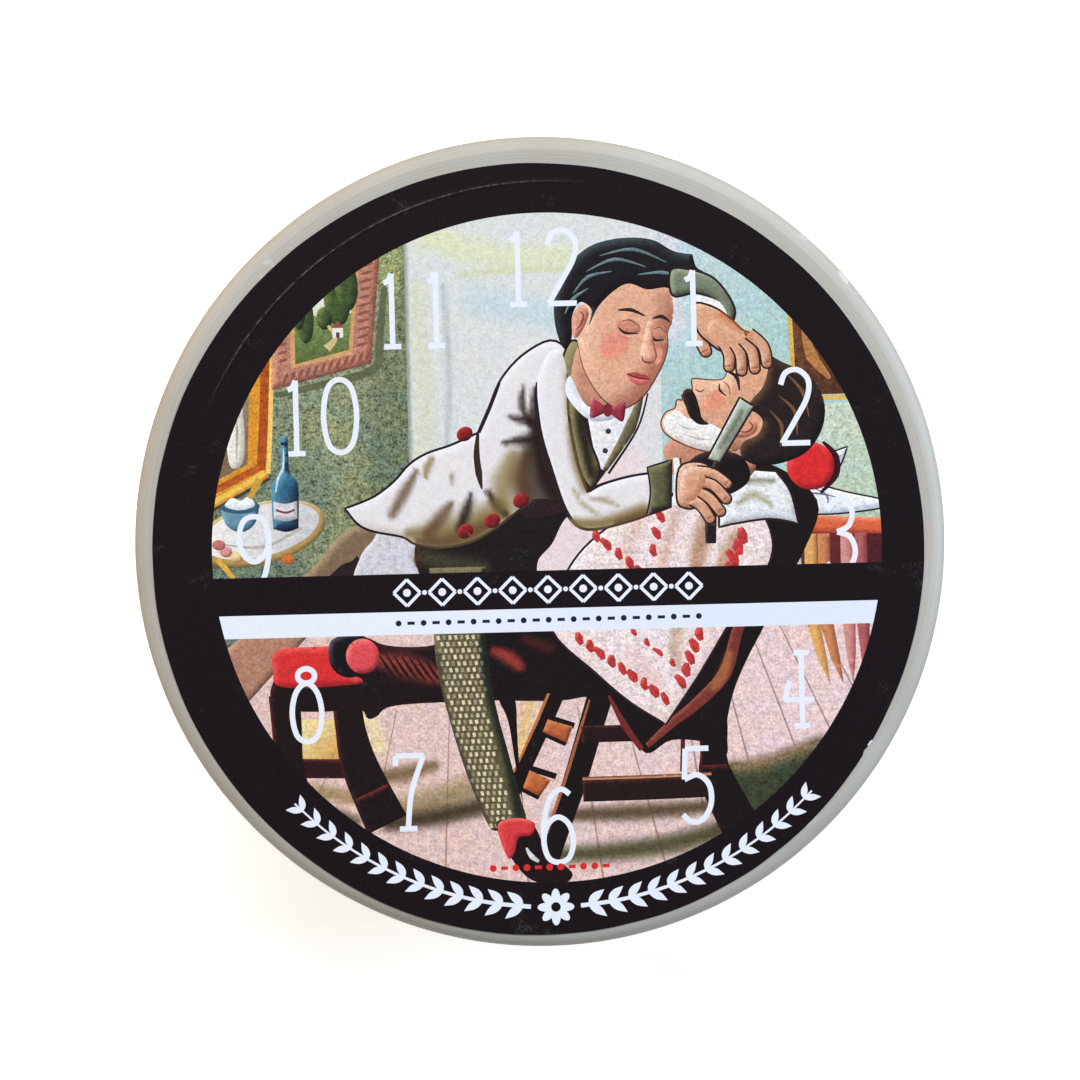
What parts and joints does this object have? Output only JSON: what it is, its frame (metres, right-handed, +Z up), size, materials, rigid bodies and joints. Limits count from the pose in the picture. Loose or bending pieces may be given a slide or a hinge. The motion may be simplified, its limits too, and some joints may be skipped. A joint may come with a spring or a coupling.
{
  "type": "shaving soap tub",
  "caption": "Round screw-lidded plastic tub filled with poured shaving soap, with a foam liner in the lid and a round printed label on top.",
  "frame": {"origin": "centre of the base, on the plane that the tub stands on", "axes": "+Z up along the tub's axis, +Y towards the top of the label, +X to the label's right"},
  "size_m": [0.092, 0.092, 0.0531],
  "materials": {
    "tub_plastic": "natural translucent polypropylene, satin",
    "soap": "poured hard soap, waxy",
    "liner_foam": "pressed white foam",
    "lid_plastic": "natural translucent polypropylene, satin",
    "label_paper": "printed satin paper, hand cut"
  },
  "bodies": {
    "tub": {"tub": "tub_plastic", "soap_puck": "soap"},
    "liner": {"liner_wad": "liner_foam"},
    "lid": {"lid_shell": "lid_plastic", "top_label": "label_paper"}
  },
  "joints": [
    {"name": "lid_rise", "type": "slide", "parent": "tub", "child": "liner", "axis": [0, 0, 1], "range_m": [0, 0.0204]},
    {"name": "lid_turn", "type": "hinge", "parent": "liner", "child": "lid", "pos_m": [0, 0, 0.0514], "axis": [0, 0, 1], "range_deg": [0, 1440]}
  ],
  "couplings": [
    {"joint": "lid_rise", "follows": "lid_turn", "m_per_rad": 0.00080851}
  ]
}
